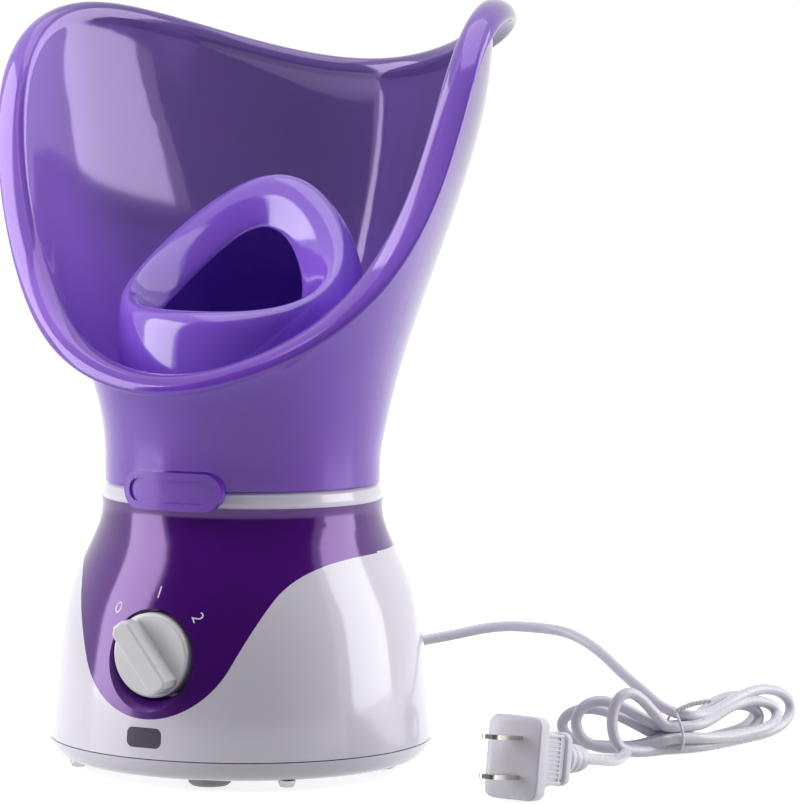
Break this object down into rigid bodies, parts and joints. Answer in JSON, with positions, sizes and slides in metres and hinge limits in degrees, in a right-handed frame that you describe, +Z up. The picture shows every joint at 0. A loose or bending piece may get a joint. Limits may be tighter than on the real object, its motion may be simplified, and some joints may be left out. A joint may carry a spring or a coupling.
{
  "type": "facial steamer",
  "caption": "Countertop facial steamer: round heated-tank base with rotary switch, lift-off face mask and inner nose mask, mains cord tied in a hank with a two-blade plug.",
  "frame": {"origin": "on the base's axis at the level of the feet's undersides", "axes": "+Z up along the base's axis, -Y out of the knob, +X to the right of someone who looks at the knob"},
  "size_m": [0.2374, 0.2183, 0.2601],
  "materials": {
    "violet_clear": "translucent moulded plastic, polished",
    "nose_violet": "translucent moulded plastic, polished",
    "deep_purple": "polished moulded plastic",
    "white_shell": "polished moulded plastic",
    "knob_white": "satin moulded plastic",
    "lens": "tinted clear window",
    "neon": "glass lamp",
    "rubber_grey": "matt rubber",
    "silicone": "matt silicone",
    "aluminium": "pressed sheet",
    "steel": "zinc-plated",
    "ceramic": "fired",
    "black_plastic": "moulded",
    "wire_jacket": "insulated wire",
    "cord_white": "soft cord jacket",
    "nickel": "nickel-plated",
    "tie_white": "coated wire"
  },
  "bodies": {
    "root": {"base_plate": "white_shell", "rubber_feet": "rubber_grey", "base_screws": "steel", "base_housing": "white_shell", "upper_cover": "deep_purple", "collar_ring": "white_shell", "heating_tank": "aluminium", "tank_gasket": "silicone", "heater_ring": "ceramic", "heater_clamp": "steel", "clamp_screws": "steel", "thermostat": "steel", "thermal_fuse": "ceramic", "rotary_switch": "black_plastic", "switch_nut": "steel", "indicator_lens": "lens", "lamp_holder": "black_plastic", "neon_lamp": "neon", "terminal_block": "black_plastic", "internal_wires": "wire_jacket", "cord_strain_relief": "cord_white", "cord_inner_end": "cord_white", "cord_clamp": "black_plastic", "clamp_bar_screws": "steel", "power_cord": "cord_white", "cord_hank": "cord_white", "cord_tail": "cord_white", "twist_tie": "tie_white", "plug_body": "cord_white", "plug_blades": "nickel"},
    "knob": {"control_knob": "knob_white", "switch_shaft": "steel"},
    "face_mask": {"face_mask": "violet_clear"},
    "nasal_mask": {"nasal_mask": "nose_violet"}
  },
  "joints": [
    {"name": "knob_turn", "type": "hinge", "parent": "root", "child": "knob", "pos_m": [0, -0.0525, 0.0435], "axis": [0, 1, 0], "range_deg": [0, 90]},
    {"name": "face_mask_lift", "type": "slide", "parent": "root", "child": "face_mask", "axis": [0, 0, 1], "range_m": [0, 0.12]},
    {"name": "nasal_mask_lift", "type": "slide", "parent": "root", "child": "nasal_mask", "axis": [0, 0, 1], "range_m": [0, 0.12]}
  ]
}
